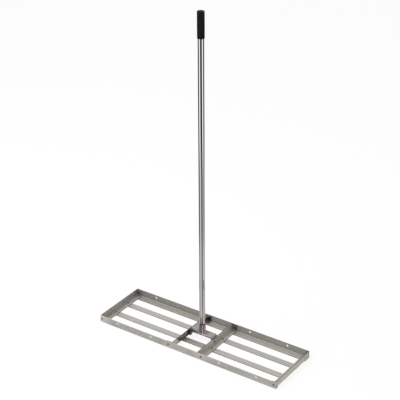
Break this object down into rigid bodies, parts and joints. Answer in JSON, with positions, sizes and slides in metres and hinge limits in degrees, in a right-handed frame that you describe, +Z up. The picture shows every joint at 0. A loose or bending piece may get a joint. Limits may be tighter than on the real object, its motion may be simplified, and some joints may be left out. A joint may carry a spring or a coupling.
{
  "type": "lawn leveling rake",
  "caption": "Long handled lawn leveling rake: a flat rectangular frame of bent steel angles and slats, with a pole that tilts on a central yoke.",
  "frame": {"origin": "on the ground, under the middle of the head", "axes": "+Z up along the upright pole, +X along the long side of the head, +Y towards the back rail"},
  "size_m": [0.914, 0.2808, 1.497],
  "materials": {
    "frame_steel": "satin",
    "fastener_steel": "satin",
    "pole_steel": "polished",
    "grip_rubber": "matte"
  },
  "bodies": {
    "head": {"front_rail": "frame_steel", "back_rail": "frame_steel", "left_end_bar": "frame_steel", "right_end_bar": "frame_steel", "left_crossbar": "frame_steel", "right_crossbar": "frame_steel", "front_slat": "frame_steel", "back_slat": "frame_steel", "slat_screws": "fastener_steel", "slat_nuts": "fastener_steel", "flange_screws": "fastener_steel", "flange_nuts": "fastener_steel", "ear_screws": "fastener_steel", "ear_nuts": "fastener_steel", "pivot_bolts": "fastener_steel", "pivot_washers": "fastener_steel", "pivot_nuts": "fastener_steel"},
    "handle": {"pivot_yoke": "frame_steel", "handle_socket": "pole_steel", "socket_screw": "fastener_steel", "lower_tube": "pole_steel", "tube_joint": "pole_steel", "upper_tube": "pole_steel", "grip": "grip_rubber"}
  },
  "joints": [
    {"name": "handle_tilt", "type": "hinge", "parent": "head", "child": "handle", "pos_m": [0, 0, 0.0225], "axis": [1, 0, 0], "range_deg": [-75, 75]}
  ]
}
